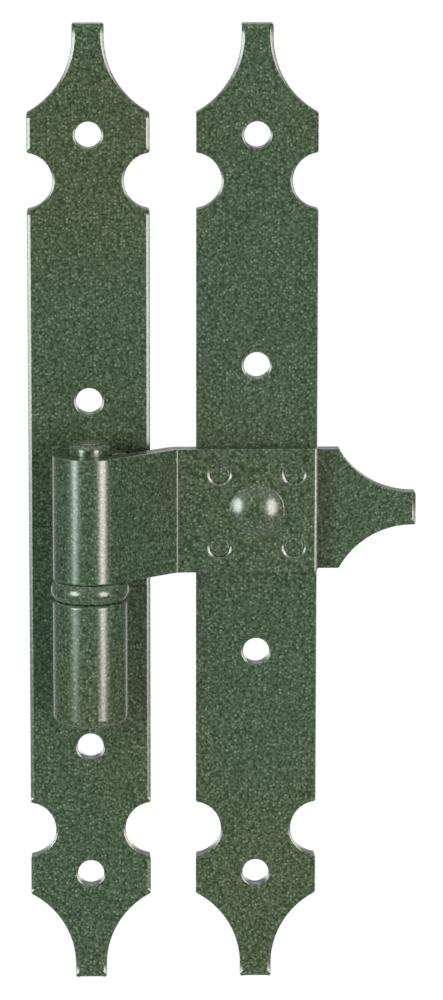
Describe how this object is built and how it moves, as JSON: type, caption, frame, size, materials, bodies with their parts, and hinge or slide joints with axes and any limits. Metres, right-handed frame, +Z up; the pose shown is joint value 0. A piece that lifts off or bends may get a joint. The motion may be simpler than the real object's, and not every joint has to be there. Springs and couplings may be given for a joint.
{
  "type": "lift-off shutter hinge",
  "caption": "Lift-off shutter hinge of painted flat bar: a lance-ended frame plate with an upright pin, and a lance-ended leaf plate on a rolled-eye strap that swings and lifts off.",
  "frame": {"origin": "middle of the frame plate's back face", "axes": "+Z up along the pin, +X from the pin towards the leaf plate, +Y from the front into the wall"},
  "size_m": [0.0958, 0.0238, 0.24],
  "materials": {
    "speckled_green_paint": "dark green paint with fine metallic speckle, satin gloss"
  },
  "bodies": {
    "frame_leaf": {"frame_plate": "speckled_green_paint", "lower_knuckle": "speckled_green_paint", "weld_bead_left": "speckled_green_paint", "weld_bead_right": "speckled_green_paint", "pintle_pin": "speckled_green_paint"},
    "thrust_ring": {"thrust_ring": "speckled_green_paint"},
    "shutter_leaf": {"hinge_strap": "speckled_green_paint", "leaf_plate": "speckled_green_paint", "centre_rivet": "speckled_green_paint", "rivet_upper_inner": "speckled_green_paint", "rivet_upper_outer": "speckled_green_paint", "rivet_lower_inner": "speckled_green_paint", "rivet_lower_outer": "speckled_green_paint"}
  },
  "joints": [
    {"name": "leaf_swing", "type": "hinge", "parent": "frame_leaf", "child": "thrust_ring", "pos_m": [0, -0.0141, 0], "axis": [0, 0, -1], "range_deg": [0, 180]},
    {"name": "leaf_lift", "type": "slide", "parent": "thrust_ring", "child": "shutter_leaf", "axis": [0, 0, 1], "range_m": [0, 0.036]}
  ]
}
